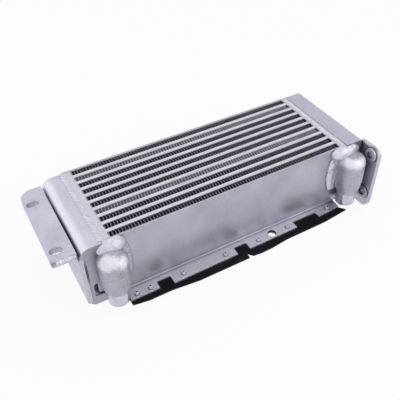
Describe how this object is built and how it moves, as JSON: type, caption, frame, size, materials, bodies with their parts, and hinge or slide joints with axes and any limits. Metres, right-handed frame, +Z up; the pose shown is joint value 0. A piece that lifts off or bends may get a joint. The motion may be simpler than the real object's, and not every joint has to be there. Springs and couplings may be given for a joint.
{
  "type": "oil cooler",
  "caption": "Bar and plate oil cooler with side tanks, downward port elbows, a slotted bracket, an ear bracket and a riveted rubber edge seal.",
  "frame": {"origin": "centre of the inlet port at the end of its spigot", "axes": "+X along the fin rows from the slotted bracket to the ear bracket, +Y from the front plate to the back, +Z up out of the core's top face, against the ports"},
  "size_m": [0.342, 0.1355, 0.0795],
  "materials": {
    "tank": "satin",
    "cast": "rough cast",
    "bracket": "satin",
    "plate": "satin",
    "core": "brazed",
    "fin": "dull",
    "bead": "weld",
    "rivet": "satin",
    "rubber": "matt"
  },
  "bodies": {
    "root": {"left_tank": "tank", "left_tank_front_cap": "tank", "left_tank_rear_cap": "tank", "right_tank": "tank", "right_tank_front_cap": "tank", "right_tank_rear_cap": "tank", "inlet_elbow": "cast", "outlet_elbow": "cast", "left_bracket_plate": "bracket", "left_bracket_leg": "bracket", "right_bracket": "bracket", "weld_nuts": "bracket", "front_side_plate": "plate", "rear_side_plate": "plate", "rivets": "rivet", "seal_left": "rubber", "seal_right": "rubber", "left_tank_weld": "bead", "right_tank_weld": "bead", "inlet_weld": "bead", "outlet_weld": "bead", "left_bracket_weld": "bead", "right_bracket_weld": "bead", "oil_bars_top": "core", "oil_bars_bottom": "core", "end_bars_left": "core", "end_bars_right": "core", "parting_sheets": "core", "air_fin_1": "fin", "air_fin_2": "fin", "air_fin_3": "fin", "air_fin_4": "fin", "air_fin_5": "fin", "air_fin_6": "fin", "air_fin_7": "fin", "air_fin_8": "fin", "air_fin_9": "fin", "air_fin_10": "fin", "turbulator_1": "core", "turbulator_2": "core", "turbulator_3": "core", "turbulator_4": "core", "turbulator_5": "core", "turbulator_6": "core", "turbulator_7": "core", "turbulator_8": "core", "turbulator_9": "core"}
  },
  "joints": []
}
